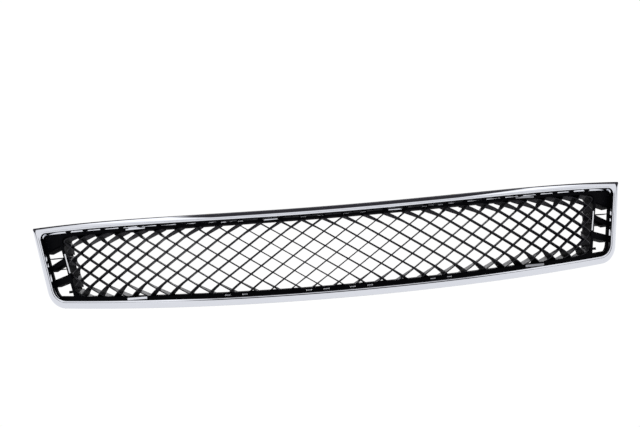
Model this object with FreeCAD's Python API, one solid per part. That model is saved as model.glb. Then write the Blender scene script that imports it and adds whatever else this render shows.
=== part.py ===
import FreeCAD, Part
import math
import os

# Lower front grille: a chrome surround, a black diamond-mesh insert screwed into its back,
# a ribbed bracket behind each end window, and the hardware that holds them to a bumper.
# Millimetres. +X is to the right seen from the front, +Y points back into the car, +Z is up.
# Depths are counted back from the mesh's front surface, along +Y.

# ---------------------------------------------------------------- driving dimensions
PLAN_RADIUS = 1275.0        # the whole grille is bowed to this radius, seen from above
LEAN = 0.135                # every front surface leans back this much per unit of height

TOP_EDGE = 73.5             # surround's top edge on the centre line
BOTTOM_EDGE = -96.8         # surround's bottom edge on the centre line
TOP_RISE = 14.5             # the top edge rises this much towards the ends
RISE_SPAN = 613.0           # half width over which it rises
BOTTOM_BOW = 7800.0         # radius of the bottom edge, seen from the front
SIDE_AT_ZERO = 588.0        # half width of the surround at Z = 0
SIDE_SLOPE = 0.295          # the sides widen this much per unit of height
LOW_CORNER = 48.0           # radius of the surround's bottom corners

TOP_RAIL = 13.0             # heights and width of the surround's rails, seen from the front
BOTTOM_RAIL = 15.0
SIDE_RAIL = 15.0
WALL = 2.6                  # wall of the surround's hollow rails
RAIL_NOSE = 4.5             # rounding of the rails' front edges
OUTER_FLANGE = 40.0         # depth of the surround's outer flange
INNER_FLANGE = 13.8         # depth of its inner flange
WINDOW_CORNER = 10.0        # upper corner radius of the surround's window

PITCH_X = 40.0              # diamond mesh, node to node
PITCH_Z = 27.0
SLAT = 1.7                  # thickness of a slat
SLAT_DEPTH = 10.0
MESH_TOP = 20.1             # mesh window's edges, in from the surround's outer edges
MESH_TOP_RISE = 10.6
MESH_BOTTOM = 22.8
MESH_SIDE = 60.0
MESH_LOW_CORNER = 22.0
MESH_HIGH_CORNER = 9.0
BAND_FACE = 14.0            # depth of the black border band's front face
BAND_PLATE = 2.8            # thickness of the band
DUCT_WALL = 2.4             # wall that runs back from the band round the mesh
DUCT_BACK = 62.0            # depth of that wall's back edge
BAR = 5.0                   # upright bar between the mesh and each end window
ROOT_WIDTH = 12.0           # slats are deeper within this distance of the duct wall
ROOT_DEPTH = 40.0
FIT = 0.7                   # clearance of the insert inside the surround's outer flange

WIDE_LUG = 382.0            # snap lugs on both rails, each side of the centre
WIDE_LUG_WIDTH = 40.0
FINGER_LUGS = (190.0, 40.0)  # these are pairs of narrow fingers
FINGER_WIDTH = 9.0
FINGER_SPREAD = 16.0        # each finger's distance from the pair's centre
SHORT_LUG = 117.0           # one more pair, on the top rail only
SHORT_LUG_WIDTH = 25.0
LUG_STEP = 1.2              # black strip of the band between a rail and its lugs
LUG_GAP = 0.5               # clearance of a lug in its slot
TOOTH_PITCH = 39.1          # hook teeth on the band, under the top rail's inner flange
TOOTH_WIDTH = 9.0
TOOTH_FRONT = 4.5           # depth of the teeth's front ends
TOOTH_TOP = 0.4             # the teeth's top and lower faces, below the rail's window edge
TOOTH_LOW = 3.3
TOOTH_SPAN = 530.0          # half width over which there are teeth

SCREW_STATIONS = (85.0, 152.0, 285.0, 470.0)   # insert screws, each side of the centre
SCREW_RADIUS = 1.5
HEAD_RADIUS = 3.4
HEAD_HEIGHT = 2.2
BOSS_RADIUS = 3.3
BRACKET_SCREW_HEIGHTS = (52.0, -20.0)
SCREW_TIP = 6.0             # depth of the screws' tips, inside the surround's bosses
SCREW_CLEARANCE = 0.3       # the insert's and brackets' holes are this much larger in radius
HEAD_ROUNDING = 0.99
CROSS_LONG = 2.0            # half length, half width and depth of the screws' cross recess
CROSS_HALF = 0.45
CROSS_DEPTH = 1.2

TAB_STATIONS = (150.0, 420.0)        # bolting tabs on the top flange
LOW_TAB_STATION = 300.0              # bolting tabs on the bottom flange
TAB_WIDTH = 30.0
TAB_THICK = 3.0
TAB_LENGTH = 26.0
TAB_CORNER = 6.0
TAB_HOLE_FROM_END = 11.0
TAB_SINK = 0.4              # a tab's root is sunk this far into its flange
TAB_OVERLAP = 6.0           # a tab starts this far in front of the flange's back edge
TAB_HOLE_RADIUS = 4.6
SLEEVE_HOLE_RADIUS = 3.25
CLIP_STATIONS = (235.0, 520.0)       # spring clips on the top flange
LOW_CLIP_STATIONS = (110.0, 430.0)   # spring clips on the bottom flange
CLIP_WIDTH = 16.0
CLIP_SHEET = 0.8
CLIP_REACH = 12.0
CLIP_TONGUE = 1.6           # height of a clip's sprung tongue above its outer leg
LOW_CLIP_TONGUE = 0.4
CLIP_TONGUE_REACH = 9.0
CLIP_TONGUE_ROOT = 1.5
CLIP_GAP = 0.6              # gap between a clip's bend and the flange's back edge
SLEEVE_PROUD = 0.3          # the steel sleeves stand this far out of their tabs

BAR_STRIP_LOW = -10.0        # bright strip on each bar's front face: its ends, width, thickness
BAR_STRIP_HIGH = 29.0
BAR_STRIP_WIDTH = 2.8
BAR_STRIP_SHEET = 0.8
BAR_STRIP_GAP = 0.05

BRACKET_GAP = 0.4           # clearance between a bracket and the bar beside it
BRACKET_FLANGE = 2.4
BRACKET_WALL = 2.5
BRACKET_LIP_BACK = 26.0     # depth of the lip round the surround's window
BRACKET_LIP_LAP = 1.0       # the lip's outer face is this far outside the window, and
BRACKET_LIP_SHOWS = 2.0     # its inner face this far inside
BRACKET_SILL = 8.5          # height of the plate that closes the foot of the window
BRACKET_SIDE_GAP = 0.8      # clearance of the flange inside the insert's edge
BRACKET_BACK = 60.0
BRACKET_RIB_FRONT = 19.0
# slanting ribs: height of the upper face at X = 550, fall per unit of X, vertical thickness
BRACKET_RIB_X = 550.0
BRACKET_RIBS = ((51.3, 0.33, 7.5), (18.0, 0.45, 12.0), (-17.5, 0.27, 15.0))
BRACKET_WEB = 1.4           # thin level webs between the ribs
BRACKET_WEB_FRONT = 24.0
BRACKET_WEB_BACK = 50.0
BRACKET_WEB_HEIGHTS = (21.5, -1.5)
BRACKET_SHIELD = 90.0       # height of the plate that closes the window above the top rib
BRACKET_TOOTH = (519.0, 530.0, -50.0, -45.0)   # stop at the window's lower inner corner
BRACKET_TOOTH_BACK = 30.0

FAR = 500.0                 # cutting bodies run at least this far past the model


# ---------------------------------------------------------------- shape of the grille
def plan(x):
    return PLAN_RADIUS - math.sqrt(PLAN_RADIUS ** 2 - x ** 2)


def front(x, z, depth):
    """Y of the surface that lies this far behind the mesh's front surface."""
    return plan(x) + LEAN * z + depth


def top_edge(x, inset, rise=TOP_RISE):
    return TOP_EDGE - inset + rise * math.sin(math.pi * x / (2 * RISE_SPAN)) ** 2


def bottom_edge(x, inset):
    return BOTTOM_EDGE + inset + x ** 2 / (2 * BOTTOM_BOW)


def side_edge(z, inset):
    return SIDE_AT_ZERO - inset + SIDE_SLOPE * z


def corner_x(edge, side_inset):
    """Where the right side meets a top or bottom edge."""
    x = SIDE_AT_ZERO - side_inset
    for _ in range(30):
        x = side_edge(edge(x), side_inset)
    return x


def vec(x, y, z):
    return FreeCAD.Vector(x, y, z)


def box(x0, x1, y0, y1, z0, z1):
    return Part.makeBox(x1 - x0, y1 - y0, z1 - z0, vec(x0, y0, z0))


def rod(radius, start, end):
    axis = end.sub(start)
    return Part.makeCylinder(radius, axis.Length, start, axis)


def slab(near, far):
    """Everything between two depths, bowed and leaning like the grille."""
    low = -160.0
    height = 320.0
    half = 700.0

    def bow(depth):
        ends = [vec(x, front(x, low, depth), low) for x in (-half, 0, half)]
        return Part.Arc(*ends).toShape()

    front_arc = bow(near)
    back_arc = bow(far)
    left = Part.makeLine(front_arc.Vertexes[0].Point, back_arc.Vertexes[0].Point)
    right = Part.makeLine(front_arc.Vertexes[1].Point, back_arc.Vertexes[1].Point)
    face = Part.Face(Part.Wire([front_arc, right, back_arc, left]))
    return face.extrude(vec(0, LEAN * height, height))


def round_corners(solid, radii):
    """Round the fore-and-aft edges; radii is (test on the edge's middle, radius) pairs."""
    for wanted, radius in radii:
        edges = []
        for edge in solid.Edges:
            ends = [v.Point for v in edge.Vertexes]
            if len(ends) == 2 and abs(ends[0].x - ends[1].x) < 1e-6 and abs(ends[0].z - ends[1].z) < 1e-6:
                if wanted(ends[0]):
                    edges.append(edge)
        solid = solid.makeFillet(radius, edges)
    return solid


def outline_prism(top, bottom, side, rise=TOP_RISE, low_radius=0.0, high_radius=0.0):
    """Front-view outline, inset from the surround's outer edges, run fore and aft."""
    x_top = corner_x(lambda x: top_edge(x, top, rise), side)
    x_low = corner_x(lambda x: bottom_edge(x, bottom), side)
    y = -FAR
    steps = [x_top * k / 8.0 for k in range(-8, 9)]
    curve = Part.BSplineCurve()
    curve.interpolate([vec(x, y, top_edge(x, top, rise)) for x in steps])
    upper = curve.toShape()
    lower = Part.Arc(*[vec(x, y, bottom_edge(x, bottom)) for x in (-x_low, 0, x_low)]).toShape()
    left = Part.makeLine(upper.Vertexes[0].Point, lower.Vertexes[0].Point)
    right = Part.makeLine(upper.Vertexes[1].Point, lower.Vertexes[1].Point)
    solid = Part.Face(Part.Wire([upper, right, lower, left])).extrude(vec(0, 2 * FAR, 0))
    radii = []
    if low_radius:
        radii.append((lambda p: p.z < 0, low_radius))
    if high_radius:
        radii.append((lambda p: p.z > 0, high_radius))
    return round_corners(solid, radii)


def surround_outer(inset):
    return outline_prism(inset, inset, inset * 1.04, low_radius=LOW_CORNER - inset)


def surround_window(grow):
    return outline_prism(TOP_RAIL - grow, BOTTOM_RAIL - grow, SIDE_RAIL - grow,
                         low_radius=LOW_CORNER - SIDE_RAIL + grow,
                         high_radius=WINDOW_CORNER + grow)


def mesh_window(grow):
    return outline_prism(MESH_TOP - grow, MESH_BOTTOM - grow, MESH_SIDE - grow, MESH_TOP_RISE,
                         low_radius=MESH_LOW_CORNER + grow,
                         high_radius=max(MESH_HIGH_CORNER + grow, 1.0))


# ---------------------------------------------------------------- chrome surround
def depth_box(x, half, z0, z1, near, far):
    """A box between two depths; the bow over its width is added to its depth."""
    inner = max(abs(x) - half, 0.0)
    return box(x - half, x + half, front(inner, z0, near), front(abs(x) + half, z1, far), z0, z1)


def lug_stations():
    """(x, half width, whether on the top rail) of every snap lug."""
    stations = []
    for side in (-1, 1):
        places = [(WIDE_LUG, WIDE_LUG_WIDTH / 2.0)]
        for centre in FINGER_LUGS:
            places.append((centre - FINGER_SPREAD, FINGER_WIDTH / 2.0))
            places.append((centre + FINGER_SPREAD, FINGER_WIDTH / 2.0))
        for centre, half in places:
            stations.append((side * centre, half, True))
            stations.append((side * centre, half, False))
        stations.append((side * SHORT_LUG, SHORT_LUG_WIDTH / 2.0, True))
    return stations


def lug_levels(x, on_top):
    """Heights of the rail's inner face, of the lug's near edge and of its far edge."""
    if on_top:
        rail = top_edge(x, TOP_RAIL)
        wall = top_edge(x, MESH_TOP - DUCT_WALL, MESH_TOP_RISE)
        return rail, rail - LUG_STEP, wall + LUG_GAP
    rail = bottom_edge(x, BOTTOM_RAIL)
    wall = bottom_edge(x, MESH_BOTTOM - DUCT_WALL)
    return rail, rail + LUG_STEP, wall - LUG_GAP


def span(a, b):
    return min(a, b), max(a, b)


def snap_lugs():
    """Each lug hooks from the rail's inner flange, behind the band and up into its slot."""
    lugs = []
    for x, half, on_top in lug_stations():
        rail, near, far = lug_levels(x, on_top)
        outward = 1.0 if on_top else -1.0
        root = span(rail + outward * 0.3, rail + outward * (WALL - 0.3))
        foot = span(far, rail + outward * (WALL - 0.3))
        face = span(near, far)
        back = BAND_FACE + BAND_PLATE + LUG_GAP
        lugs.append(depth_box(x, half, root[0], root[1], INNER_FLANGE - 3.0, back + 1.0))
        lugs.append(depth_box(x, half, foot[0], foot[1], back, back + 2.0))
        lugs.append(depth_box(x, half, face[0], face[1], BAND_FACE + 1.2, back + 1.0))
    return lugs


def lug_slots():
    """What the snap lugs need cut out of the band: a root slot and the slot that shows."""
    slots = []
    for x, half, on_top in lug_stations():
        rail, near, far = lug_levels(x, on_top)
        outward = 1.0 if on_top else -1.0
        root = span(rail, rail + outward * WALL)
        face = span(near + outward * 0.2, far - outward * (LUG_GAP - 0.1))
        for z0, z1 in (root, face):
            slots.append(depth_box(x, half + LUG_GAP, z0, z1, BAND_FACE - 5.0, BAND_FACE + 8.0))
    return slots


def screw_points():
    points = []
    for station in SCREW_STATIONS:
        for x in (-station, station):
            points.append((x, top_edge(x, TOP_RAIL / 2.0)))
            points.append((x, bottom_edge(x, BOTTOM_RAIL / 2.0)))
    return points


def bracket_screw_points():
    points = []
    for z in BRACKET_SCREW_HEIGHTS:
        for side in (-1, 1):
            points.append((side * side_edge(z, SIDE_RAIL / 2.0), z))
    return points


def tab_root(x, z):
    return front(x, z, OUTER_FLANGE - TAB_OVERLAP)


def tab_hole_y(x, z):
    return tab_root(x, z) + TAB_LENGTH - TAB_HOLE_FROM_END


def mount_tab(x, z):
    """Flat tab that runs back from a flange, with a hole for its sleeve. z is its lower face."""
    y0 = tab_root(x, z)
    y1 = y0 + TAB_LENGTH
    tab = box(x - TAB_WIDTH / 2.0, x + TAB_WIDTH / 2.0, y0, y1, z, z + TAB_THICK)
    corners = []
    for edge in tab.Edges:
        a, b = [v.Point for v in edge.Vertexes]
        if abs(a.y - y1) < 1e-6 and abs(b.y - y1) < 1e-6 and abs(a.x - b.x) < 1e-6:
            corners.append(edge)
    tab = tab.makeFillet(TAB_CORNER, corners)
    y = tab_hole_y(x, z)
    return tab.cut(rod(TAB_HOLE_RADIUS, vec(x, y, z - 1), vec(x, y, z + TAB_THICK + 1)))


def tab_places():
    """(x, lower face) of every bolting tab."""
    places = []
    for station in TAB_STATIONS:
        for x in (-station, station):
            places.append((x, top_edge(x, WALL) - TAB_SINK))
    for x in (-LOW_TAB_STATION, LOW_TAB_STATION):
        places.append((x, bottom_edge(x, WALL) - TAB_THICK + TAB_SINK))
    return places


def chrome_surround():
    ring = surround_outer(0.0).cut(surround_window(0.0)).common(slab(0.0, OUTER_FLANGE))
    nose = []
    for edge in ring.Edges:
        middle = edge.valueAt((edge.FirstParameter + edge.LastParameter) / 2.0)
        if abs(middle.y - front(middle.x, middle.z, 0.0)) < 0.05:
            nose.append(edge)
    ring = ring.makeFillet(RAIL_NOSE, nose)
    hollow = surround_outer(WALL).cut(surround_window(WALL)).common(slab(WALL, 2 * OUTER_FLANGE))
    step = surround_window(WALL + 0.2).cut(surround_window(-2.0))
    step = step.common(slab(INNER_FLANGE, 2 * OUTER_FLANGE))
    ring = ring.cut(hollow).cut(step)
    bosses = []
    pilots = []
    for x, z in screw_points() + bracket_screw_points():
        bosses.append(rod(BOSS_RADIUS, vec(x, front(x, z, WALL - 0.8), z), vec(x, front(x, z, BAND_FACE), z)))
        pilots.append(rod(SCREW_RADIUS, vec(x, front(x, z, 5.0), z), vec(x, front(x, z, BAND_FACE + 5), z)))
    tabs = [mount_tab(x, z) for x, z in tab_places()]
    ring = ring.fuse(bosses + snap_lugs() + tabs)
    return ring.cut(Part.makeCompound(pilots))


# ---------------------------------------------------------------- black mesh insert
def diamond_holes():
    """The openings between the slats, as fore-and-aft prisms."""
    half_x = PITCH_X / 2.0
    half_z = PITCH_Z / 2.0
    reach = half_x * half_z / math.hypot(half_x, half_z)
    scale = 1.0 - SLAT / 2.0 / reach
    holes = []
    for column in range(-27, 28):
        for row in range(-6, 6):
            if (column + row) % 2:
                continue
            x = column * half_x
            z = row * half_z
            corners = [vec(x - half_x * scale, -FAR, z), vec(x, -FAR, z + half_z * scale),
                       vec(x + half_x * scale, -FAR, z), vec(x, -FAR, z - half_z * scale)]
            face = Part.Face(Part.makePolygon(corners + [corners[0]]))
            holes.append(face.extrude(vec(0, 2 * FAR, 0)))
    return holes


def slats():
    """Diamond lattice, deeper where it runs into the duct wall."""
    rim = mesh_window(0.6).cut(mesh_window(-ROOT_WIDTH)).common(slab(SLAT_DEPTH - 1.0, ROOT_DEPTH))
    body = mesh_window(0.6).common(slab(0.0, SLAT_DEPTH)).fuse(rim)
    return body.cut(Part.makeCompound(diamond_holes()))


def end_windows(grow):
    """The two open windows between the mesh's bars and the surround's sides."""
    whole = surround_window(grow)
    bars = outline_prism(-60.0, -60.0, MESH_SIDE - BAR + grow)
    return whole.cut(bars)


def teeth():
    hooks = []
    count = int(TOOTH_SPAN / TOOTH_PITCH + 0.5)
    for k in range(-count, count):
        x = (k + 0.5) * TOOTH_PITCH
        z = top_edge(x, TOP_RAIL)
        hooks.append(depth_box(x, TOOTH_WIDTH / 2.0, z - TOOTH_LOW, z - TOOTH_TOP, TOOTH_FRONT,
                               BAND_FACE + 1.0))
    return hooks


def clearance_holes(points):
    holes = []
    for x, z in points:
        ends = [vec(x, front(x, z, depth), z) for depth in (0.0, 30.0)]
        holes.append(rod(SCREW_RADIUS + SCREW_CLEARANCE, *ends))
    return holes


def mesh_insert():
    band = surround_outer(WALL + FIT).cut(mesh_window(0.0)).cut(end_windows(0.0))
    band = band.common(slab(BAND_FACE, BAND_FACE + BAND_PLATE))
    wall = mesh_window(DUCT_WALL).cut(mesh_window(0.0)).common(slab(BAND_FACE, DUCT_BACK))
    body = band.fuse([wall, slats()])
    bars = outline_prism(0.0, 0.0, MESH_SIDE - BAR).cut(outline_prism(-9.0, -9.0, MESH_SIDE))
    bars = bars.common(surround_window(0.0)).common(slab(BAND_FACE, DUCT_BACK))
    bars = bars.cut(mesh_window(0.0))
    body = body.fuse([bars] + teeth())
    holes = clearance_holes(screw_points() + bracket_screw_points())
    return body.cut(Part.makeCompound(lug_slots() + holes))


# ---------------------------------------------------------------- end brackets
def slanting_band(level, fall, thick):
    """Fore-and-aft prism whose upper face is at this level at BRACKET_RIB_X and falls outward."""
    corners = []
    for reach in (-60.0, 60.0):
        corners.append(vec(BRACKET_RIB_X + reach, -FAR, level - fall * reach))
    down = vec(0, 0, -thick)
    loop = corners + [corners[1].add(down), corners[0].add(down), corners[0]]
    return Part.Face(Part.makePolygon(loop)).extrude(vec(0, 2 * FAR, 0))


def end_bracket():
    """Right bracket: a screwed flange with a lip, a wall beside the bar, plates, ribs and webs."""
    past_bar = outline_prism(-60.0, -60.0, MESH_SIDE - BAR - BRACKET_GAP)
    past_wall = outline_prism(-60.0, -60.0, MESH_SIDE - BAR - BRACKET_GAP - BRACKET_WALL)
    right_half = box(0.0, 700.0, -FAR, FAR, -200.0, 200.0)
    inner = surround_window(BRACKET_WALL)
    flange_front = BAND_FACE + BAND_PLATE
    opening = surround_window(-BRACKET_LIP_SHOWS)
    flange = surround_outer(WALL + FIT + BRACKET_SIDE_GAP).cut(opening)
    flange = flange.common(slab(flange_front, flange_front + BRACKET_FLANGE))
    lip = surround_window(BRACKET_LIP_LAP).cut(opening)
    lip = lip.common(slab(flange_front, BRACKET_LIP_BACK))
    wall = inner.common(past_wall).common(slab(flange_front, BRACKET_BACK))
    level, fall, thick = BRACKET_RIBS[0]
    shield = slanting_band(level + BRACKET_SHIELD, fall, BRACKET_SHIELD + thick / 2.0).common(inner)
    shield = shield.common(slab(flange_front, flange_front + BRACKET_FLANGE))
    sill = inner.cut(outline_prism(-60.0, BOTTOM_RAIL + BRACKET_SILL, -60.0))
    sill = sill.common(slab(flange_front, BRACKET_LIP_BACK))
    x0, x1, z0, z1 = BRACKET_TOOTH
    tooth = box(x0, x1, -FAR, FAR, z0, z1).common(slab(flange_front, BRACKET_TOOTH_BACK))
    parts = [lip, wall, shield, sill, tooth]
    rib_zone = slab(BRACKET_RIB_FRONT, BRACKET_BACK).common(inner)
    web_zone = slab(BRACKET_WEB_FRONT, BRACKET_WEB_BACK).common(inner)
    for rib in BRACKET_RIBS:
        parts.append(rib_zone.common(slanting_band(*rib)))
    for z in BRACKET_WEB_HEIGHTS:
        parts.append(web_zone.common(box(0.0, 700.0, -FAR, FAR, z, z + BRACKET_WEB)))
    body = flange.fuse(parts)
    body = body.common(right_half).cut(past_bar)
    return body.cut(Part.makeCompound(clearance_holes(bracket_screw_points())))


# ---------------------------------------------------------------- hardware
def screws(points, seat):
    """Pan-head screws that enter from behind; seat is the depth that their heads bear on."""
    bodies = []
    for x, z in points:
        shank = rod(SCREW_RADIUS, vec(x, front(x, z, SCREW_TIP), z), vec(x, front(x, z, seat + 0.5), z))
        head = rod(HEAD_RADIUS, vec(x, front(x, z, seat), z), vec(x, front(x, z, seat + HEAD_HEIGHT), z))
        rim = [e for e in head.Edges if abs(e.CenterOfMass.y - front(x, z, seat + HEAD_HEIGHT)) < 1e-6]
        head = head.makeFillet(HEAD_ROUNDING, rim)
        y = front(x, z, seat + HEAD_HEIGHT)
        for a, b in ((CROSS_LONG, CROSS_HALF), (CROSS_HALF, CROSS_LONG)):
            head = head.cut(box(x - a, x + a, y - CROSS_DEPTH, y + 1.0, z - b, z + b))
        bodies.append(head.fuse(shank))
    return Part.makeCompound(bodies)


def spring_clip(tongue_height):
    """U-shaped sheet clip with a sprung tongue; its mouth is at the origin, opening along -Y."""
    half = CLIP_WIDTH / 2.0
    low = -WALL - CLIP_SHEET
    profile = [(-CLIP_REACH, 0.0), (0.0, 0.0), (0.0, -WALL), (-CLIP_REACH, -WALL), (-CLIP_REACH, low),
               (CLIP_SHEET, low), (CLIP_SHEET, CLIP_SHEET), (-CLIP_REACH, CLIP_SHEET)]
    tip = CLIP_SHEET + tongue_height
    tongue = [(-CLIP_TONGUE_ROOT, CLIP_SHEET - 0.1), (-CLIP_TONGUE_ROOT, CLIP_SHEET),
              (-CLIP_TONGUE_REACH, tip), (-CLIP_TONGUE_REACH, tip - 0.7),
              (-CLIP_TONGUE_ROOT - 1.0, CLIP_SHEET - 0.1)]

    def sheet(points, x0, x1):
        corners = [vec(x0, y, z) for y, z in points]
        return Part.Face(Part.makePolygon(corners + [corners[0]])).extrude(vec(x1 - x0, 0, 0))

    return sheet(profile, -half, half).fuse(sheet(tongue, -half * 0.5, half * 0.5))


def spring_clips(stations, edge, upward, tongue_height):
    clips = []
    for station in stations:
        for x in (-station, station):
            clip = spring_clip(tongue_height)
            z = edge(x)
            climb = math.degrees(math.atan((edge(x + 1.0) - edge(x - 1.0)) / 2.0))
            turn = math.degrees(math.asin(x / PLAN_RADIUS))
            if not upward:
                clip.rotate(vec(0, 0, 0), vec(0, 1, 0), 180.0)
            clip.rotate(vec(0, 0, 0), vec(0, 1, 0), -climb)
            clip.rotate(vec(0, 0, 0), vec(0, 0, 1), turn)
            clip.translate(vec(x, front(x, z, OUTER_FLANGE + CLIP_GAP), z))
            clips.append(clip)
    return Part.makeCompound(clips)


def bar_strips():
    """Bright strip on the front face of each bar, along the mesh side of it."""
    low = BAR_STRIP_LOW
    high = BAR_STRIP_HIGH
    near = BAND_FACE - BAR_STRIP_GAP - BAR_STRIP_SHEET
    far = BAND_FACE - BAR_STRIP_GAP
    inner = side_edge(low, MESH_SIDE)
    outer = inner + BAR_STRIP_WIDTH
    corners = [vec(inner, front(inner, low, near), low), vec(outer, front(outer, low, near), low),
               vec(outer, front(outer, low, far), low), vec(inner, front(inner, low, far), low)]
    sideways = SIDE_SLOPE * (high - low)
    back = front(inner + sideways, high, 0.0) - front(inner, low, 0.0)
    strip = Part.Face(Part.makePolygon(corners + [corners[0]])).extrude(vec(sideways, back, high - low))
    return Part.makeCompound([strip, strip.mirror(vec(0, 0, 0), vec(1, 0, 0))])


def mount_sleeves():
    sleeves = []
    for x, z in tab_places():
        y = tab_hole_y(x, z)
        low = vec(x, y, z - SLEEVE_PROUD)
        high = vec(x, y, z + TAB_THICK + SLEEVE_PROUD)
        sleeve = rod(TAB_HOLE_RADIUS, low, high).cut(rod(SLEEVE_HOLE_RADIUS, low, high))
        sleeves.append(sleeve)
    return Part.makeCompound(sleeves)


def main():
    bracket_seat = BAND_FACE + BAND_PLATE + BRACKET_FLANGE
    right_bracket = end_bracket()
    nodes = {
        "chrome_surround": chrome_surround(),
        "mesh_insert": mesh_insert(),
        "end_bracket_left": right_bracket.mirror(vec(0, 0, 0), vec(1, 0, 0)),
        "end_bracket_right": right_bracket,
        "insert_screws": screws(screw_points(), BAND_FACE + BAND_PLATE),
        "bracket_screws": screws(bracket_screw_points(), bracket_seat),
        "bar_strips": bar_strips(),
        "top_spring_clips": spring_clips(CLIP_STATIONS, lambda x: top_edge(x, 0.0), True, CLIP_TONGUE),
        "bottom_spring_clips": spring_clips(LOW_CLIP_STATIONS, lambda x: bottom_edge(x, 0.0), False,
                                            LOW_CLIP_TONGUE),
        "mount_sleeves": mount_sleeves(),
    }
    x = TAB_STATIONS[0]
    z = top_edge(x, WALL) - TAB_SINK
    origin = vec(0, tab_hole_y(x, z), z + TAB_THICK / 2.0)
    os.makedirs("parts", exist_ok=True)
    for name, shape in nodes.items():
        shape.translate(origin.negative())
        print(name, shape.isValid(), len(shape.Solids), round(shape.Volume))
        shape.exportStep("parts/" + name + ".step")


if __name__ == "__main__":
    main()
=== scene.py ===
import math

import bmesh
import bpy
from mathutils import Euler, Matrix, Vector


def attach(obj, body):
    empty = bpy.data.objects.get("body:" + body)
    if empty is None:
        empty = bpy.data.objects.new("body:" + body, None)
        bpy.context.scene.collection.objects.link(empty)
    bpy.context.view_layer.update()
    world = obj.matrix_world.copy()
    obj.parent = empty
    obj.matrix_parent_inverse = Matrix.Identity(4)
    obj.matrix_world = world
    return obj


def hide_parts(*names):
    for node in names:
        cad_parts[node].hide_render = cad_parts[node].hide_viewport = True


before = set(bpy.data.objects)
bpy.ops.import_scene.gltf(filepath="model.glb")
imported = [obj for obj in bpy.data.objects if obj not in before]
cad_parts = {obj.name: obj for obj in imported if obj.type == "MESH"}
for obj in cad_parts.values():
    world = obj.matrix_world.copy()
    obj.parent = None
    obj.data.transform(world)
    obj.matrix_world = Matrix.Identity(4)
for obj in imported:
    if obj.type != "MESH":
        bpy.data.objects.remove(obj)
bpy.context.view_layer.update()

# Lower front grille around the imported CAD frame. The shape laws below are the CAD's own, in
# millimetres: +X right seen from the front, +Y back, +Z up, depths counted back from the mesh's
# front surface. Pieces are made in those terms and then moved to the frame, in metres.

# ---------------------------------------------------------------- driving dimensions
PLAN_RADIUS = 1275.0
LEAN = 0.135
TOP_EDGE = 73.5
BOTTOM_EDGE = -96.8
TOP_RISE = 14.5
RISE_SPAN = 613.0
BOTTOM_BOW = 7800.0
SIDE_AT_ZERO = 588.0
SIDE_SLOPE = 0.295
LOW_CORNER = 48.0
HIGH_CORNER = 2.5

TOP_RAIL = 13.0
BOTTOM_RAIL = 15.0
SIDE_RAIL = 15.0
WALL = 2.6
OUTER_FLANGE = 40.0
INNER_FLANGE = 13.8
WINDOW_CORNER = 10.0
RETURN_START = 10.2         # behind this depth the top rail's inner return slopes down,
RETURN_FALL = 3.3           # by this much
CROWN = 13.6                # radius that rounds a rail's front face towards its outer edge,
CROWN_START = 9.9           # starting this far in from that edge

PITCH_X = 40.0
PITCH_Z = 27.0
SLAT = 2.0
SLAT_DEPTH = 10.0
SLAT_TILT = 0.06            # slats tilt down to the back by this much per unit of depth
MESH_TOP = 20.1
MESH_TOP_RISE = 10.6
MESH_BOTTOM = 22.8
MESH_SIDE = 60.0
MESH_LOW_CORNER = 22.0
MESH_HIGH_CORNER = 9.0
BAND_FACE = 14.0
BAND_PLATE = 2.8
DUCT_WALL = 2.4
DUCT_BACK = 62.0
BAR = 5.0
BAR_ROOT = 1.6              # a bar's deep web starts this far inside the duct wall
BAR_REACH = 66              # and runs this far up and down, by whole steps
BAR_STEP = 6
SWEEP_REACH = 21.0          # a slat's front and back edges sweep back within this of the wall
SWEEP_BACK = 61.0           # depth of a slat's back edge at the wall
SWEEP_POWER = 1.15          # above 1, that edge sweeps back mostly close to the wall
SLAT_SINK = 1.4             # slats run this far into the duct wall
LAST_SLAT = 41              # slats cross the centre line at odd half pitches, up to this one
FIT = 0.7

WIDE_LUG = 382.0
WIDE_LUG_WIDTH = 40.0
FINGER_LUGS = (190.0, 40.0)  # pairs of narrow fingers
FINGER_WIDTH = 9.0
FINGER_SPREAD = 16.0
FINGER_TRIM = 1.2           # a finger is this much shorter than a wide lug at both edges
SHORT_LUG = 117.0
SHORT_LUG_WIDTH = 25.0
LUG_STEP = 1.2
LUG_INSET = 0.3             # a lug's face lies this far behind the band's face,
LUG_BACK = 2.0              # and its back this far behind the band
SLOT_PLAY = 0.1             # slots are this much larger than lugs in height,
SLOT_SIDE_PLAY = 0.5        # and this much at each side
TOOTH_PITCH = 39.1
TOOTH_WIDTH = 9.0
TOOTH_FRONT = 4.5
TOOTH_TOP = 0.4
TOOTH_LOW = 3.3
TOOTH_SPAN = 530.0
TOOTH_SINK = 1.0            # a tooth's root is sunk this far into the band
SOFT_EDGE = 0.4             # rounding of the lugs' and teeth's edges

TAB_STATIONS = (150.0, 420.0)
LOW_TAB_STATION = 300.0
TAB_WIDTH = 30.0
TAB_THICK = 3.0
TAB_LENGTH = 26.0
TAB_CORNER = 6.0
TAB_HOLE_RADIUS = 4.6
TAB_HOLE_FROM_END = 11.0
TAB_SINK = 0.4              # a tab's root is sunk this far into its flange
TAB_OVERLAP = 6.0           # a tab starts this far before the flange's back edge


# ---------------------------------------------------------------- shape of the grille
def plan(x):
    return PLAN_RADIUS - math.sqrt(PLAN_RADIUS ** 2 - x ** 2)


def front(x, z, depth):
    return plan(x) + LEAN * z + depth


def top_edge(x, inset, rise=TOP_RISE):
    return TOP_EDGE - inset + rise * math.sin(math.pi * x / (2 * RISE_SPAN)) ** 2


def bottom_edge(x, inset):
    return BOTTOM_EDGE + inset + x ** 2 / (2 * BOTTOM_BOW)


def side_edge(z, inset):
    return SIDE_AT_ZERO - inset + SIDE_SLOPE * z


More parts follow.
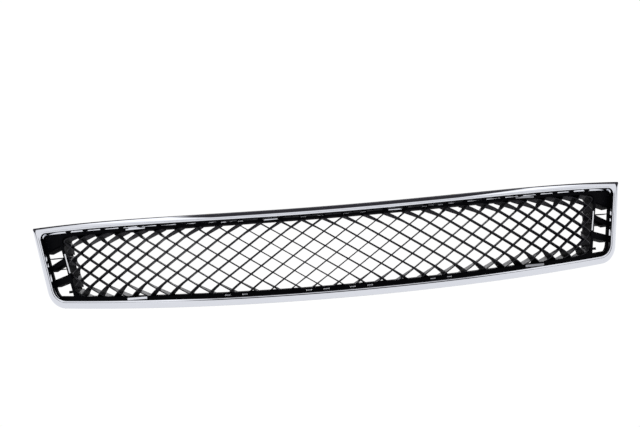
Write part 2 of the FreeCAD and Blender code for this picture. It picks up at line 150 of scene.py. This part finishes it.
def tab_level(x, on_top):
    """Z of a bolting tab's lower face."""
    if on_top:
        return top_edge(x, WALL) - TAB_SINK
    return bottom_edge(x, WALL) - TAB_THICK + TAB_SINK


def tab_root(x, on_top):
    return front(x, tab_level(x, on_top), OUTER_FLANGE - TAB_OVERLAP)


# the frame's origin is midway between the two inner tab holes, half way up the tab
ORIGIN_Y = tab_root(TAB_STATIONS[0], True) + TAB_LENGTH - TAB_HOLE_FROM_END
ORIGIN_Z = tab_level(TAB_STATIONS[0], True) + TAB_THICK / 2.0


def to_frame(x, y, z):
    return Vector((x, y - ORIGIN_Y, z - ORIGIN_Z)) / 1000.0


def bowed(x, z, depth):
    return to_frame(x, front(x, z, depth), z)


def squared(x, z, depth):
    """As bowed, but the first of the depth runs square to the bowed front."""
    square = min(depth, SLAT_DEPTH)
    back = Vector((-x / math.sqrt(PLAN_RADIUS ** 2 - x ** 2), 1.0, -SLAT_TILT)).normalized() * square
    return to_frame(x + back.x, front(x, z, depth - square) + back.y, z + back.z)


# ---------------------------------------------------------------- outlines seen from the front
def corner(edge, side_inset):
    x = SIDE_AT_ZERO - side_inset
    for _ in range(30):
        x = side_edge(edge(x), side_inset)
    return x, edge(x)


def arc(at, toward_a, toward_b, radius, steps):
    """Points of a fillet at a corner, from the first leg to the second."""
    a = Vector(toward_a).normalized()
    b = Vector(toward_b).normalized()
    half = a.angle(b) / 2.0
    centre = Vector(at) + (a + b).normalized() * (radius / math.sin(half))
    start = Vector(at) + a * (radius / math.tan(half)) - centre
    end = Vector(at) + b * (radius / math.tan(half)) - centre
    turn = start.angle(end)
    points = []
    for k in range(steps + 1):
        part = k / steps
        mixed = start * math.sin((1 - part) * turn) + end * math.sin(part * turn)
        points.append(centre + mixed / math.sin(turn))
    return points


ALONG_STEPS = 100           # points along the top and bottom, up a side, and round the corners
UP_STEPS = 14
LOW_ARC_STEPS = 14
HIGH_ARC_STEPS = 8


def outline(top, bottom, side, rise, low_radius, high_radius):
    """Closed loop, clockwise from the top left corner; the same count for every inset."""
    def upper(x):
        return top_edge(x, top, rise)

    def lower(x):
        return bottom_edge(x, bottom)

    high_at = Vector(corner(upper, side))
    low_at = Vector(corner(lower, side))
    step = 1.0
    along_top = (-step, upper(high_at.x - step) - high_at.y)
    along_low = (-step, lower(low_at.x - step) - low_at.y)
    down = (-SIDE_SLOPE, -1.0)
    rise_up = (SIDE_SLOPE, 1.0)
    high_arc = arc(high_at, along_top, down, high_radius, HIGH_ARC_STEPS)
    low_arc = arc(low_at, rise_up, along_low, low_radius, LOW_ARC_STEPS)
    right = list(high_arc)
    for k in range(1, UP_STEPS):
        part = k / UP_STEPS
        z = high_arc[-1].y * (1 - part) + low_arc[0].y * part
        right.append(Vector((side_edge(z, side), z)))
    right += low_arc
    loop = []
    reach = high_arc[0].x
    for k in range(1, ALONG_STEPS):
        x = reach * (2.0 * k / ALONG_STEPS - 1.0)
        loop.append(Vector((x, upper(x))))
    loop += right
    reach = low_arc[-1].x
    for k in range(1, ALONG_STEPS):
        x = reach * (1.0 - 2.0 * k / ALONG_STEPS)
        loop.append(Vector((x, lower(x))))
    loop += [Vector((-p.x, p.y)) for p in reversed(right)]
    return loop


def surround_loop(w, fall=0.0):
    """Loop that lies w in from the sides' outer edges, and in proportion on the other rails."""
    part = w / SIDE_RAIL
    high_radius = HIGH_CORNER + (WINDOW_CORNER - HIGH_CORNER) * part
    return outline(TOP_RAIL * part + fall, BOTTOM_RAIL * part, SIDE_RAIL * part, TOP_RISE,
                   LOW_CORNER - w, high_radius)


def mesh_loop(grow):
    return outline(MESH_TOP - grow, MESH_BOTTOM - grow, MESH_SIDE - grow, MESH_TOP_RISE,
                   MESH_LOW_CORNER + grow, MESH_HIGH_CORNER + grow)


# ---------------------------------------------------------------- mesh building
PLATE_CUT = 12.0            # plates are cut into strips this wide, so that they can bow
RIM_EDGE = 0.35             # rounding of a plate's rims
RIM_ANGLE = 1.0             # radians between the faces that meet at a rim, at least
SAME = 1e-6                 # levels closer than this are the same


def swept(bm, rings, section_closed=True):
    """Skin between closed rings of points that are already in the frame."""
    made = [[bm.verts.new(p) for p in ring] for ring in rings]
    count = len(made[0])
    pairs = list(zip(made, made[1:]))
    if section_closed:
        pairs.append((made[-1], made[0]))
    for one, two in pairs:
        for k in range(count):
            nxt = (k + 1) % count
            bm.faces.new((one[k], one[nxt], two[nxt], two[k]))
    return made


def finished(bm, name, material, body="root", sharp=38.0):
    bmesh.ops.remove_doubles(bm, verts=bm.verts, dist=1e-7)
    bmesh.ops.recalc_face_normals(bm, faces=bm.faces)
    mesh = bpy.data.meshes.new(name)
    bm.to_mesh(mesh)
    bm.free()
    mesh.shade_smooth()
    mesh.set_sharp_from_angle(angle=math.radians(sharp))
    piece = bpy.data.objects.new(name, mesh)
    bpy.context.scene.collection.objects.link(piece)
    mesh.materials.append(material)
    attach(piece, body)
    return piece


def edge_loop(bm, points):
    verts = [bm.verts.new((p[0], 0.0, p[1])) for p in points]
    return [bm.edges.new((verts[k], verts[(k + 1) % len(verts)])) for k in range(len(verts))]


def thicken(bm, thick, bevel, both_rims=False):
    """Extrude a flat fill along Y, and round the rims of its near face, or of both faces."""
    made = bmesh.ops.extrude_face_region(bm, geom=bm.faces[:])
    for v in made["geom"]:
        if isinstance(v, bmesh.types.BMVert):
            v.co.y = thick
    bmesh.ops.recalc_face_normals(bm, faces=bm.faces)
    if bevel:
        level = [e for e in bm.edges if abs(e.verts[0].co.y - e.verts[1].co.y) < SAME]
        rims = [e for e in level if len(e.link_faces) == 2 and e.calc_face_angle() > RIM_ANGLE
                and (both_rims or abs(e.verts[0].co.y) < SAME)]
        bmesh.ops.bevel(bm, geom=rims, offset=bevel, segments=2, affect="EDGES", profile=0.6)


def add_placed(target, bm, place):
    """Move a mesh into the target, with each of its points where place puts it."""
    bm.verts.index_update()
    new = [target.verts.new(place(v.co)) for v in bm.verts]
    for f in bm.faces:
        target.faces.new([new[v.index] for v in f.verts])
    bm.free()


def plate(target, outer, holes, near, far, bevel=RIM_EDGE):
    """Flat plate with holes, seen from the front, between two depths, then bowed."""
    bm = bmesh.new()
    edges = edge_loop(bm, outer)
    for hole in holes:
        edges += edge_loop(bm, hole)
    bmesh.ops.triangle_fill(bm, use_beauty=True, edges=edges)
    low = min(p[0] for p in outer)
    high = max(p[0] for p in outer)
    count = int((high - low) / PLATE_CUT)
    for k in range(1, count):
        x = low + (high - low) * k / count
        bmesh.ops.bisect_plane(bm, geom=bm.verts[:] + bm.edges[:] + bm.faces[:], dist=1e-4,
                               plane_co=(x, 0, 0), plane_no=(1, 0, 0))
    thicken(bm, far - near, bevel)
    add_placed(target, bm, lambda p: bowed(p.x, p.z, near + p.y))


def block(target, x0, x1, z0, z1, near, far):
    """Small block with softened edges, between two depths."""
    bm = bmesh.new()
    bmesh.ops.create_cube(bm, size=1.0)
    for v in bm.verts:
        v.co = Vector((x0 + (x1 - x0) * (v.co.x + 0.5), (v.co.y + 0.5) * (far - near),
                       z0 + (z1 - z0) * (v.co.z + 0.5)))
    bmesh.ops.bevel(bm, geom=bm.edges[:], offset=SOFT_EDGE, segments=2, affect="EDGES", profile=0.6)
    add_placed(target, bm, lambda p: bowed(p.x, p.z, near + p.y))


# ---------------------------------------------------------------- materials
def nodes_of(name):
    material = bpy.data.materials.new(name)
    material.use_nodes = True
    tree = material.node_tree
    return material, tree.nodes, tree.links, tree.nodes["Principled BSDF"]


def noise(nodes, links, scale, detail, coords):
    tex = nodes.new("ShaderNodeTexNoise")
    tex.inputs["Scale"].default_value = scale
    tex.inputs["Detail"].default_value = detail
    links.new(coords, tex.inputs["Vector"])
    return tex.outputs["Fac"]


def spread(nodes, links, value, low, high):
    ramp = nodes.new("ShaderNodeMapRange")
    ramp.inputs["From Min"].default_value = 0.3
    ramp.inputs["From Max"].default_value = 0.7
    ramp.inputs["To Min"].default_value = low
    ramp.inputs["To Max"].default_value = high
    links.new(value, ramp.inputs["Value"])
    return ramp.outputs["Result"]


def between(nodes, links, value, one, two):
    mix = nodes.new("ShaderNodeMix")
    mix.data_type = "RGBA"
    mix.inputs[6].default_value = (*one, 1.0)
    mix.inputs[7].default_value = (*two, 1.0)
    links.new(value, mix.inputs[0])
    return mix.outputs[2]


def bumped(nodes, links, shader, value, strength, distance):
    bump = nodes.new("ShaderNodeBump")
    bump.inputs["Strength"].default_value = strength
    bump.inputs["Distance"].default_value = distance
    links.new(value, bump.inputs["Height"])
    links.new(bump.outputs["Normal"], shader.inputs["Normal"])


def finish_material(name, tones, rough, metallic, colour_scale, rough_scale, grain=None, specular=0.5,
                    ior=1.5):
    """Procedural finish: tone drift, uneven polish and a fine surface grain."""
    material, nodes, links, shader = nodes_of(name)
    coords = nodes.new("ShaderNodeTexCoord").outputs["Object"]
    tone = noise(nodes, links, colour_scale, 3.0, coords)
    links.new(between(nodes, links, tone, *tones), shader.inputs["Base Color"])
    polish = noise(nodes, links, rough_scale, 4.0, coords)
    links.new(spread(nodes, links, polish, *rough), shader.inputs["Roughness"])
    shader.inputs["Metallic"].default_value = metallic
    shader.inputs["Specular IOR Level"].default_value = specular
    shader.inputs["IOR"].default_value = ior
    if grain:
        scale, strength, distance = grain
        bumped(nodes, links, shader, noise(nodes, links, scale, 2.0, coords), strength, distance)
    return material


chrome = finish_material("chrome_plating", ((0.56, 0.575, 0.61), (0.60, 0.612, 0.64)), (0.035, 0.075),
                         1.0, 9.0, 55.0, (60.0, 0.01, 0.0002))
# darker, rougher copy of the chrome: painted shade for the lugs that reflect dark, not a different plating
lug_plating_painted_shade = finish_material("lug_plating_painted_shade", ((0.20, 0.205, 0.22), (0.26, 0.265, 0.28)), (0.1, 0.2),
                              1.0, 9.0, 55.0, (300.0, 0.05, 0.0002))
black = finish_material("black_moulding", ((0.0015, 0.0015, 0.0022), (0.003, 0.003, 0.004)), (0.25, 0.4),
                        0.0, 40.0, 120.0, (1500.0, 0.08, 0.00004), 0.05, 1.2)
slat_black = finish_material("slat_moulding", ((0.002, 0.002, 0.0035), (0.004, 0.004, 0.007)), (0.2, 0.32),
                             0.0, 40.0, 120.0, (1500.0, 0.05, 0.00003), 0.5, 1.3)
bracket_black = finish_material("bracket_plastic", ((0.0015, 0.0015, 0.002), (0.003, 0.003, 0.004)),
                                (0.34, 0.5), 0.0, 40.0, 150.0, (1800.0, 0.15, 0.00006), 0.06, 1.2)
zinc = finish_material("zinc_steel", ((0.52, 0.53, 0.55), (0.66, 0.67, 0.68)), (0.26, 0.42), 1.0,
                       120.0, 300.0, (900.0, 0.1, 0.00005))
yellow_zinc = finish_material("yellow_zinc", ((0.60, 0.50, 0.20), (0.74, 0.64, 0.32)), (0.25, 0.4), 1.0,
                              150.0, 300.0, (900.0, 0.1, 0.00005))
sleeve_steel = finish_material("sleeve_steel", ((0.50, 0.50, 0.51), (0.62, 0.62, 0.63)), (0.22, 0.38),
                               1.0, 200.0, 500.0, (1400.0, 0.15, 0.00004))


# ---------------------------------------------------------------- chrome surround
def rail_section():
    """(w, depth, fall) round the shell of a rail: outer flange, nose, face, lip and return."""
    section = [(0.0, OUTER_FLANGE - 0.4, 0.0), (0.0, 26.0, 0.0), (0.0, 12.0, 0.0), (0.0, 6.2, 0.0)]
    section += [(0.03, 5.2, 0.0), (0.12, 4.55, 0.0)]
    for angle in (45, 40, 35, 30, 25, 20, 15, 10, 6, 2):
        turned = math.radians(angle)
        section.append((CROWN_START - CROWN * math.sin(turned), CROWN * (1 - math.cos(turned)), 0.0))
    section += [(10.4, 0.0, 0.0), (10.95, 0.04, 0.0), (11.25, 0.22, 0.0), (11.5, 0.62, 0.0)]
    section += [(11.7, 1.05, 0.0), (12.0, 1.27, 0.0), (12.5, 1.32, 0.0), (13.4, 1.36, 0.0)]
    section += [(14.2, 1.6, 0.0), (14.75, 2.15, 0.0), (15.0, 3.0, 0.0)]
    section += [(15.0, RETURN_START, 0.05), (15.0, RETURN_START + 0.35, 0.3)]
    section += [(15.0, INNER_FLANGE - 1.3, RETURN_FALL - 0.1), (15.0, INNER_FLANGE, RETURN_FALL)]
    section += [(12.6, INNER_FLANGE, RETURN_FALL), (12.4, 5.6, 0.2), (11.2, 3.6, 0.0), (8.0, 2.7, 0.0)]
    section += [(4.2, 5.0, 0.0), (3.0, 7.0, 0.0), (WALL, 9.5, 0.0), (WALL, OUTER_FLANGE - 0.4, 0.0)]
    section += [(WALL - 0.4, OUTER_FLANGE, 0.0), (0.4, OUTER_FLANGE, 0.0)]
    return section


def lug_stations():
    """(x, half width, whether on the top rail) of every snap lug."""
    stations = []
    for side in (-1, 1):
        places = [(WIDE_LUG, WIDE_LUG_WIDTH / 2.0)]
        for centre in FINGER_LUGS:
            places.append((centre - FINGER_SPREAD, FINGER_WIDTH / 2.0))
            places.append((centre + FINGER_SPREAD, FINGER_WIDTH / 2.0))
        for centre, half in places:
            stations.append((side * centre, half, True))
            stations.append((side * centre, half, False))
        stations.append((side * SHORT_LUG, SHORT_LUG_WIDTH / 2.0, True))
    return stations


def lug_levels(x, on_top):
    """Heights of a wide lug's near and far edges."""
    if on_top:
        rail = top_edge(x, TOP_RAIL)
        return rail - LUG_STEP, top_edge(x, MESH_TOP - DUCT_WALL, MESH_TOP_RISE)
    rail = bottom_edge(x, BOTTOM_RAIL)
    return rail + LUG_STEP, bottom_edge(x, MESH_BOTTOM - DUCT_WALL)


def finger_trim(half):
    """How much shorter than a wide lug one of this half width is, at both edges."""
    return FINGER_TRIM if half < FINGER_WIDTH else 0.0


def tab(target, x, on_top):
    """Bolting tab with rounded rear corners and a sleeve hole."""
    z = tab_level(x, on_top)
    y0 = tab_root(x, on_top)
    y1 = y0 + TAB_LENGTH
    half = TAB_WIDTH / 2.0
    corner_steps = 6
    hole_steps = 32
    points = [Vector((x - half, y0)), Vector((x + half, y0))]
    points += arc((x + half, y1), (0, -1), (-1, 0), TAB_CORNER, corner_steps)
    points += arc((x - half, y1), (1, 0), (0, -1), TAB_CORNER, corner_steps)
    ring = []
    for k in range(hole_steps):
        turn = 2 * math.pi * k / hole_steps
        ring.append((x + TAB_HOLE_RADIUS * math.cos(turn),
                     y1 - TAB_HOLE_FROM_END + TAB_HOLE_RADIUS * math.sin(turn)))
    bm = bmesh.new()
    edges = edge_loop(bm, points) + edge_loop(bm, ring)
    bmesh.ops.triangle_fill(bm, use_beauty=True, edges=edges)
    thicken(bm, TAB_THICK, RIM_EDGE, both_rims=True)
    add_placed(target, bm, lambda p: to_frame(p.x, p.z, z + p.y))


bm = bmesh.new()
rings = []
for w, depth, fall in rail_section():
    rings.append([bowed(p.x, p.y, depth) for p in surround_loop(w, fall)])
swept(bm, rings)
for station in TAB_STATIONS:
    for x in (-station, station):
        tab(bm, x, True)
for x in (-LOW_TAB_STATION, LOW_TAB_STATION):
    tab(bm, x, False)
surround = finished(bm, "surround_shell", chrome)

# snap lugs: the upper ones up to the short one on the right are bright, and so is the lower wide one on
# the left;
# the others get a darker, duller copy of the chrome, painted shade for the dark reflections they show
bright = bmesh.new()
shaded_lug_mesh = bmesh.new()
for x, half, on_top in lug_stations():
    levels = lug_levels(x, on_top)
    trim = finger_trim(half)
    gets_real_chrome = x <= -WIDE_LUG or (on_top and x <= SHORT_LUG)
    block(bright if gets_real_chrome else shaded_lug_mesh, x - half, x + half, min(levels) + trim, max(levels) - trim,
          BAND_FACE + LUG_INSET, BAND_FACE + BAND_PLATE + LUG_BACK)
bright_lugs = finished(bright, "wide_snap_lugs", chrome)
# these lugs carry the painted shade of the darker chrome copy
shaded_lugs = finished(shaded_lug_mesh, "snap_lugs_painted_shade", lug_plating_painted_shade)
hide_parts("chrome_surround")
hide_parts("chrome_surround")
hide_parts("chrome_surround")


# ---------------------------------------------------------------- black mesh insert
window = mesh_loop(0.0)


def wall_distance(x, z):
    """Distance to the duct wall: positive inside the mesh window, negative outside."""
    best = 1e9
    inside = False
    count = len(window)
    for k in range(count):
        a = window[k]
        b = window[(k + 1) % count]
        dx = b.x - a.x
        dz = b.y - a.y
        part = max(0.0, min(1.0, ((x - a.x) * dx + (z - a.y) * dz) / (dx * dx + dz * dz)))
        best = min(best, math.hypot(x - a.x - part * dx, z - a.y - part * dz))
        if (a.y > z) != (b.y > z) and x < a.x + (z - a.y) / dz * dx:
            inside = not inside
    return best if inside else -best


def slat_depths(distance):
    """Depths of a slat's front and back edges at this distance from the duct wall."""
    part = max(0.0, 1.0 - max(distance, 0.0) / SWEEP_REACH)
    near = BAND_FACE * (1.0 - math.sqrt(1.0 - part * part)) if part < 1.0 else BAND_FACE
    far = SLAT_DEPTH + (SWEEP_BACK - SLAT_DEPTH) * part ** SWEEP_POWER
    return near, far


def slat(target, points):
    """One slat through front-view points, with softened edges and swept ends."""
    half = SLAT / 2.0
    along = (points[-1] - points[0]).normalized()
    across = Vector((-along.y, along.x))
    rings = []
    for p in points:
        near, far = slat_depths(wall_distance(p.x, p.y))
        section = [(-half, near + 0.45), (-half * 0.55, near), (half * 0.55, near), (half, near + 0.45),
                   (half, far - 0.3), (half * 0.6, far), (-half * 0.6, far), (-half, far - 0.3)]
        ring = []
        for offset, depth in section:
            q = p + across * offset
            ring.append(squared(q.x, q.y, depth))
        rings.append(ring)
    made = swept(target, rings, section_closed=False)
    target.faces.new(list(reversed(made[0])))
    target.faces.new(made[-1])


def slat_lines():
    """Front-view end points of every slat, run a little into the duct wall."""
    lines = []
    reach = 560                 # no part of the mesh is further than these from the lattice's centre
    half_height = 80.0
    shortest = 8
    for rise in (-PITCH_Z / PITCH_X, PITCH_Z / PITCH_X):
        for k in range(-LAST_SLAT, LAST_SLAT + 1, 2):
            middle = PITCH_Z / 2.0 * k
            inside = []
            for x in range(-reach, reach + 1):
                z = middle + rise * x
                if abs(z) < half_height and wall_distance(x, z) > -SLAT_SINK:
                    inside.append(Vector((x, z)))
            if len(inside) > shortest:
                lines.append((inside[0], inside[-1]))
    return lines


def slat_points(first, last):
    """Points along a slat, closer together where its ends sweep back."""
    length = (last - first).length
    fine = 2.0
    coarse = 6.0
    zone = 30.0
    stops = [0.0]
    while stops[-1] < length - fine / 4.0:
        here = stops[-1]
        near_end = here < zone or here > length - zone
        stops.append(min(here + (fine if near_end else coarse), length))
    return [first + (last - first) * (s / length) for s in stops]


bm = bmesh.new()
for first, last in slat_lines():
    slat(bm, slat_points(first, last))
mesh_slats = finished(bm, "mesh_slats", slat_black)
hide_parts("mesh_insert")

# border band, with slots for the snap lugs and the open end windows
bm = bmesh.new()
outer = surround_loop(WALL + FIT)
holes = [mesh_loop(0.0)]
for x, half, on_top in lug_stations():
    levels = lug_levels(x, on_top)
    play = SLOT_PLAY - finger_trim(half)
    low_z = min(levels) - play
    high_z = max(levels) + play
    reach = half + SLOT_SIDE_PLAY
    holes.append([(x - reach, low_z), (x + reach, low_z), (x + reach, high_z), (x - reach, high_z)])


def end_window(side):
    """Loop of an end window: rounded towards the surround, straight along the bar."""
    bar = MESH_SIDE - BAR
    clear = 0.5                 # points of the surround closer to the bar than this are left out
    steps = 12
    loop = [p for p in surround_loop(SIDE_RAIL) if p.x > side_edge(p.y, bar) + clear]
    top_x, top_z = corner(lambda x: top_edge(x, TOP_RAIL), bar)
    low_x, low_z = corner(lambda x: bottom_edge(x, BOTTOM_RAIL), bar)
    loop = [Vector((top_x, top_z))] + loop + [Vector((low_x, low_z))]
    for k in range(1, steps):
        part = k / steps
        z = low_z * (1 - part) + top_z * part
        loop.append(Vector((side_edge(z, bar), z)))
    return [Vector((side * p.x, p.y)) for p in loop]


holes += [end_window(-1), end_window(1)]
plate(bm, outer, holes, BAND_FACE, BAND_FACE + BAND_PLATE)

# duct wall behind the band, and the bars' deep webs
rings = []
chamfer = 0.5
band_back = BAND_FACE + BAND_PLATE
for grow, depth in ((0.0, band_back), (0.0, DUCT_BACK - chamfer), (chamfer, DUCT_BACK),
                    (DUCT_WALL - chamfer, DUCT_BACK), (DUCT_WALL, DUCT_BACK - chamfer),
                    (DUCT_WALL, band_back)):
    rings.append([bowed(p.x, p.y, depth) for p in mesh_loop(grow)])
swept(bm, rings)
for side in (-1, 1):
    heights = list(range(-BAR_REACH, BAR_REACH + 1, BAR_STEP))
    loop = [(side * (side_edge(z, MESH_SIDE) + BAR_ROOT), z) for z in heights]
    loop += [(side * side_edge(z, MESH_SIDE - BAR), z) for z in reversed(heights)]
    plate(bm, loop, [], band_back - 0.1, DUCT_BACK, 0.0)

# hook teeth over the surround's top return
count = int(TOOTH_SPAN / TOOTH_PITCH + 0.5)
for k in range(-count, count):
    x = (k + 0.5) * TOOTH_PITCH
    z = top_edge(x, TOP_RAIL)
    block(bm, x - TOOTH_WIDTH / 2.0, x + TOOTH_WIDTH / 2.0, z - TOOTH_LOW, z - TOOTH_TOP, TOOTH_FRONT,
          BAND_FACE + TOOTH_SINK)
insert = finished(bm, "mesh_moulding", black)
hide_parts("mesh_insert")

# ---------------------------------------------------------------- carried-over CAD pieces
for name, material in (("end_bracket_left", bracket_black), ("end_bracket_right", bracket_black),
                       ("insert_screws", zinc), ("bracket_screws", zinc), ("bar_strips", zinc),
                       ("top_spring_clips", yellow_zinc), ("bottom_spring_clips", yellow_zinc),
                       ("mount_sleeves", sleeve_steel)):
    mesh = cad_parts[name].data
    mesh.materials.clear()
    mesh.materials.append(material)

# ---------------------------------------------------------------- floor, light, camera
FLOOR_LEVEL = -1.6          # metres from here to the end of the floor
FLOOR_MIDDLE = 0.02         # radius of the floor's middle face
FLOOR_REACH = 10.0          # radius of its level part
COVE = 4.0                  # radius of the bend up into the wall
ARC_STEPS = 12
ROUND_STEPS = 96


def pale_surface():
    """Plain pale studio paper, evenly lit."""
    material, nodes, links, shader = nodes_of("pale_floor")
    coords = nodes.new("ShaderNodeTexCoord").outputs["Object"]
    tone = noise(nodes, links, 0.3, 2.0, coords)
    paper = nodes.new("ShaderNodeEmission")
    links.new(between(nodes, links, tone, (1.01, 1.01, 1.01), (1.03, 1.03, 1.03)), paper.inputs["Color"])
    links.new(paper.outputs["Emission"], nodes["Material Output"].inputs["Surface"])
    nodes.remove(shader)
    return material


# a floor that turns up into a wall all round; it shows to the camera only, so that the
# studio's light and reflections come from the world alone
bm = bmesh.new()
profile = [(FLOOR_MIDDLE, FLOOR_LEVEL), (FLOOR_REACH / 2.0, FLOOR_LEVEL), (FLOOR_REACH, FLOOR_LEVEL)]
for k in range(1, ARC_STEPS + 1):
    turn = math.pi / 2.0 * k / ARC_STEPS
    profile.append((FLOOR_REACH + COVE * math.sin(turn), FLOOR_LEVEL + COVE * (1.0 - math.cos(turn))))
profile.append((FLOOR_REACH + COVE, FLOOR_LEVEL + 4.0 * COVE))
rings = []
for radius, level in profile:
    turns = [2.0 * math.pi * k / ROUND_STEPS for k in range(ROUND_STEPS)]
    rings.append([Vector((radius * math.cos(t), radius * math.sin(t), level)) for t in turns])
first_ring = swept(bm, rings, section_closed=False)[0]
bm.faces.new(first_ring)
bmesh.ops.recalc_face_normals(bm, faces=bm.faces)
floor_mesh = bpy.data.meshes.new("studio_floor")
bm.to_mesh(floor_mesh)
bm.free()
floor_mesh.shade_smooth()
floor = bpy.data.objects.new("studio_floor", floor_mesh)
bpy.context.scene.collection.objects.link(floor)
floor_mesh.materials.append(pale_surface())
floor.visible_glossy = False
floor.visible_diffuse = False
floor.visible_shadow = False

# The studio as a map of directions: a bright room with a dark opening overhead, whose sides draw in
# towards the back and have a brighter softbox beside each; a dark beam behind the opening; a dark
# wall at the back; and a dark rug that runs forward from the wall's foot.
STUDIO = (1.2, 1.2, 1.23)
SOFTBOX = (1.75, 1.75, 1.78)
SHADE = (0.05, 0.047, 0.055)
OPENING_FRONT = -1.62       # front edge, distance back per unit of height
OPENING_LEFT = -0.40        # sides, distance to the right per unit of height,
OPENING_RIGHT = 0.72
OPENING_DRAW = 0.32         # and how far they draw in per unit back
SOFTBOX_WIDTH = 0.55
BEAM = (0.14, 2.6)          # front and back edges, distance back per unit of height
WALL_TOP = 0.19             # top and bottom, rise per unit back
WALL_FOOT = -0.45
WALL_REACH = 0.45           # reach to each side per unit back
RUG_FRONT = -1.25           # rise per unit back where the rug ends
RUG = (-0.56, 0.27)         # its sides, distance to the right per unit of depth below
LEAST = 0.03                # smallest value divided by
OVERHEAD = 0.12             # directions with more rise than this are overhead
BACKWARD = 0.06             # and those that run back more than this are at the back
EDGE_BLUR = 0.06            # half width of the soft edges
world = bpy.data.worlds.new("studio")
bpy.context.scene.world = world
world.use_nodes = True
nodes = world.node_tree.nodes
links = world.node_tree.links
background = nodes["Background"]
split = nodes.new("ShaderNodeSeparateXYZ")
links.new(nodes.new("ShaderNodeTexCoord").outputs["Generated"], split.inputs[0])


def math_node(operation, *values):
    node = nodes.new("ShaderNodeMath")
    node.operation = operation
    for k, value in enumerate(values):
        if isinstance(value, float):
            node.inputs[k].default_value = value
        else:
            links.new(value, node.inputs[k])
    return node.outputs[0]


def beyond(value, edge):
    """Soft mask, 1 where the value is above the edge."""
    node = nodes.new("ShaderNodeMapRange")
    node.interpolation_type = "SMOOTHSTEP"
    node.inputs["From Min"].default_value = edge - EDGE_BLUR
    node.inputs["From Max"].default_value = edge + EDGE_BLUR
    links.new(value, node.inputs["Value"])
    return node.outputs[0]


def short_of(value, edge):
    return math_node("SUBTRACT", 1.0, beyond(value, edge))


def both(*masks):
    result = masks[0]
    for mask in masks[1:]:
        result = math_node("MULTIPLY", result, mask)
    return result


def either(*masks):
    result = masks[0]
    for mask in masks[1:]:
        result = math_node("MAXIMUM", result, mask)
    return result


def tinted(mask, one, two):
    mix = nodes.new("ShaderNodeMix")
    mix.data_type = "RGBA"
    for socket, value in ((0, mask), (6, one), (7, two)):
        if isinstance(value, tuple):
            mix.inputs[socket].default_value = (*value, 1.0)
        else:
            links.new(value, mix.inputs[socket])
    return mix.outputs[2]


rightward, backward, upward = split.outputs
height = math_node("MAXIMUM", upward, LEAST)
drop = math_node("MAXIMUM", math_node("MULTIPLY", upward, -1.0), LEAST)
distance_back = math_node("MAXIMUM", backward, LEAST)
over_x = math_node("DIVIDE", rightward, height)
over_y = math_node("DIVIDE", backward, height)
under_x = math_node("DIVIDE", rightward, drop)
climb = math_node("DIVIDE", upward, distance_back)
draw = math_node("MULTIPLY", over_y, OPENING_DRAW)
from_left = math_node("SUBTRACT", math_node("SUBTRACT", over_x, OPENING_LEFT), draw)
from_right = math_node("SUBTRACT", math_node("SUBTRACT", OPENING_RIGHT, over_x), draw)
overhead = both(beyond(upward, OVERHEAD), beyond(over_y, OPENING_FRONT), short_of(over_y, BEAM[0]))
opening = both(overhead, beyond(from_left, 0.0), beyond(from_right, 0.0))
beam = both(beyond(upward, OVERHEAD), beyond(over_y, BEAM[0]), short_of(over_y, BEAM[1]))
behind = beyond(backward, BACKWARD)
sideways = math_node("DIVIDE", math_node("ABSOLUTE", rightward), distance_back)
wall = both(behind, short_of(climb, WALL_TOP), beyond(climb, WALL_FOOT), short_of(sideways, WALL_REACH))
rug = both(behind, short_of(climb, WALL_FOOT), beyond(climb, RUG_FRONT), beyond(under_x, RUG[0]),
           short_of(under_x, RUG[1]))
beside = either(both(short_of(from_left, 0.0), beyond(from_left, -SOFTBOX_WIDTH)),
                both(short_of(from_right, 0.0), beyond(from_right, -SOFTBOX_WIDTH)))
room = tinted(both(overhead, beside), STUDIO, SOFTBOX)
room = tinted(either(opening, beam, wall, rug), room, SHADE)
links.new(room, background.inputs["Color"])

sun_data = bpy.data.lights.new("overhead", "SUN")
sun_data.energy = 1.9
sun_data.angle = math.radians(20.0)
sun_data.specular_factor = 0.0
sun = bpy.data.objects.new("overhead", sun_data)
sun.visible_glossy = False
bpy.context.scene.collection.objects.link(sun)

# the camera stands low in front, a little left of centre, rolled so that the grille climbs to the right
CAMERA_PLACE = (-61.03, -1280.45, -34.28)
CAMERA_TURN = (94.187, 4.716, -1.274)   # degrees: upward from straight down, roll, to the left
CAMERA_LENS = 39.375
camera_data = bpy.data.cameras.new("camera")
camera_data.sensor_width = 36.0
camera_data.lens = CAMERA_LENS
camera = bpy.data.objects.new("camera", camera_data)
bpy.context.scene.collection.objects.link(camera)
turn = Euler([math.radians(angle) for angle in CAMERA_TURN]).to_matrix().to_4x4()
camera.matrix_world = Matrix.Translation(to_frame(*CAMERA_PLACE)) @ turn
bpy.context.scene.camera = camera
bpy.context.scene.view_settings.view_transform = "Standard"
